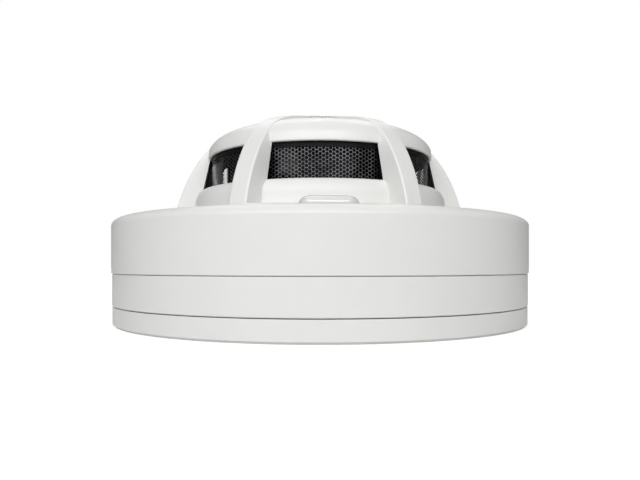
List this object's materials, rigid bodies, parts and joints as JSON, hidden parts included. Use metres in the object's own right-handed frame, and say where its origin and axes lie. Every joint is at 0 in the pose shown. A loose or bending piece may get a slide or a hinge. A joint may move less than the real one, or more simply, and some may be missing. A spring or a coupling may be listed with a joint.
{
  "type": "heat detector",
  "caption": "Round ceiling heat detector: twist-lock base with wire terminals, head with stepped white casing, ribbed dome with windows, fine metal screen and inner thermistor.",
  "frame": {"origin": "centre of the mounting base's flat back, which rests on the ceiling plate or a table", "axes": "+Z from the mounting face to the top of the dome; -Y towards the indicator lens"},
  "size_m": [0.104, 0.104, 0.0502],
  "materials": {
    "white_plastic": "fine matt moulded ABS, off-white",
    "black_plastic": "glossy black moulding",
    "black_foam": "closed-cell foam",
    "brass": "stamped, bright",
    "zinc_steel": "zinc plated",
    "screen_metal": "perforated stainless sheet",
    "board": "green solder mask",
    "chip_black": "moulded epoxy",
    "capacitor_can": "aluminium can",
    "lens": "milky translucent",
    "led_red": "tinted clear epoxy",
    "bead": "glazed bead"
  },
  "bodies": {
    "base": {"mounting_base": "white_plastic", "contact_springs": "brass", "wire_clamps": "zinc_steel", "terminal_screws": "zinc_steel"},
    "head": {"rear_housing": "white_plastic", "head_contacts": "brass", "contact_rivets": "zinc_steel", "housing_screws": "zinc_steel", "circuit_board": "board", "board_screws": "zinc_steel", "microcontroller": "chip_black", "comparator_ic": "chip_black", "filter_capacitor": "capacitor_can", "bridge_diodes": "chip_black", "surge_suppressor": "chip_black", "chip_resistors": "chip_black", "reference_thermistor": "bead", "status_led": "led_red", "led_lens": "lens", "front_cover": "white_plastic", "dome_cage": "white_plastic", "dust_seal": "black_foam", "chamber_base": "black_plastic", "vane_cage": "black_plastic", "insect_screen": "screen_metal", "thermistor_holder": "black_plastic", "thermistor_leads": "zinc_steel", "sensing_thermistor": "bead"}
  },
  "joints": [
    {"name": "head_twist", "type": "hinge", "parent": "base", "child": "head", "pos_m": [0, 0, 0.006], "axis": [0, 0, 1], "range_deg": [0, 12]}
  ]
}
